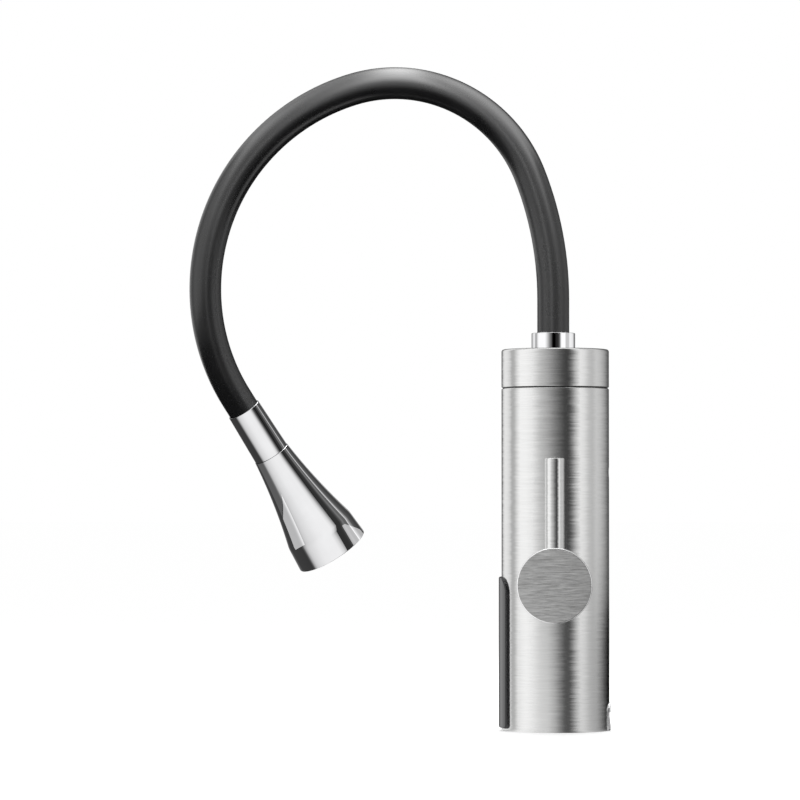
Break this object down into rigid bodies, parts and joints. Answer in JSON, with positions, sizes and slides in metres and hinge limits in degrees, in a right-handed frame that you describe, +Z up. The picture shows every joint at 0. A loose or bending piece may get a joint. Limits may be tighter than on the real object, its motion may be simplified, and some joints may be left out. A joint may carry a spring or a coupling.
{
  "type": "electric instant water heater tap",
  "caption": "Deck-standing instant water heater tap: brushed steel column, arched black flexible spout with a flared chrome spray head, rod lever and side display.",
  "frame": {"origin": "centre of the column's foot, in the plane that stands on the deck", "axes": "+Z up along the column; the lever faces -Y, the spout reaches towards -X, the cable outlet faces +X"},
  "size_m": [0.2289, 0.1111, 0.3589],
  "materials": {
    "brushed_steel": "fine brushed round the column",
    "brushed_steel_hub": "straight brushed face with a bright rim",
    "polished_steel": "satin turned",
    "steel": "plain",
    "magnet_steel": "plain",
    "black_trim": "matt",
    "black_plastic": "matt",
    "white_plastic": "matt",
    "red_plastic": "matt",
    "board_green": "satin",
    "black_gloss": "smooth and glossy",
    "chrome_plastic": "bright plated",
    "chrome": "mirror polished",
    "brass": "machined",
    "aluminium": "milled",
    "rubber": "matt",
    "black_silicone": "satin, smooth",
    "grey_silicone": "matt",
    "clear_hose": "milky",
    "ceramic": "ground and lapped"
  },
  "bodies": {
    "column": {"body_shell": "brushed_steel", "top_cap": "brushed_steel", "cap_ring": "black_trim", "base_plate": "black_plastic", "foot_gasket": "rubber", "inlet_socket": "brass", "inlet_washer": "rubber", "chassis_posts": "steel", "base_screws": "steel", "flange_screws": "steel", "flow_housing": "white_plastic", "flow_cap": "white_plastic", "flow_spring": "steel", "reed_switch": "black_plastic", "valve_block": "brass", "transfer_pipe": "steel", "cartridge_body": "brass", "cartridge_seal": "rubber", "fixed_disc": "ceramic", "spindle_seal": "rubber", "valve_collar": "chrome", "heater_tank": "steel", "heating_rods": "steel", "rod_bushes": "ceramic", "tank_gasket": "rubber", "tank_lid": "brass", "temperature_probe": "brass", "cutout_saddle": "aluminium", "thermal_cutout": "black_plastic", "control_board": "board_green", "display_module": "black_plastic", "power_relay": "black_plastic", "terminal_block": "white_plastic", "display_panel": "black_gloss", "cable_outlet": "chrome_plastic", "spout_nut": "chrome"},
    "handle": {"handle_hub": "brushed_steel_hub", "lever_rod": "polished_steel", "grub_screw": "steel", "spindle": "brass", "moving_disc": "ceramic"},
    "spout": {"spout_stem": "brass", "stem_rings": "rubber", "hose_sleeve": "black_silicone", "gooseneck": "steel", "water_hose": "clear_hose", "head_collar": "chrome", "head_ring": "rubber", "flow_core": "black_plastic"},
    "spray_head": {"spray_bell": "chrome", "nozzle_plate": "grey_silicone", "aerator": "white_plastic"},
    "flow_piston": {"flow_piston": "magnet_steel"},
    "reset_button": {"reset_button": "red_plastic"}
  },
  "joints": [
    {"name": "lever_turn", "type": "hinge", "parent": "column", "child": "handle", "pos_m": [0, -0.04, 0.0788], "axis": [0, 1, 0], "range_deg": [-90, 90]},
    {"name": "spout_swivel", "type": "hinge", "parent": "column", "child": "spout", "pos_m": [-0.001, 0, 0.21], "axis": [0, 0, 1], "continuous": true},
    {"name": "spray_turn", "type": "hinge", "parent": "spout", "child": "spray_head", "pos_m": [-0.15595, 0.02544, 0.14982], "axis": [0.4975, 0.2748, -0.8228], "range_deg": [0, 90]},
    {"name": "flow_lift", "type": "slide", "parent": "column", "child": "flow_piston", "axis": [0, 0, 1], "range_m": [0, 0.006], "stiffness_N_per_m": 60, "springref_m": -0.004, "deforming": ["flow_spring"]},
    {"name": "reset_press", "type": "slide", "parent": "column", "child": "reset_button", "axis": [-1, 0, 0], "range_m": [0, 0.001], "stiffness_N_per_m": 300, "springref_m": -0.0003}
  ]
}
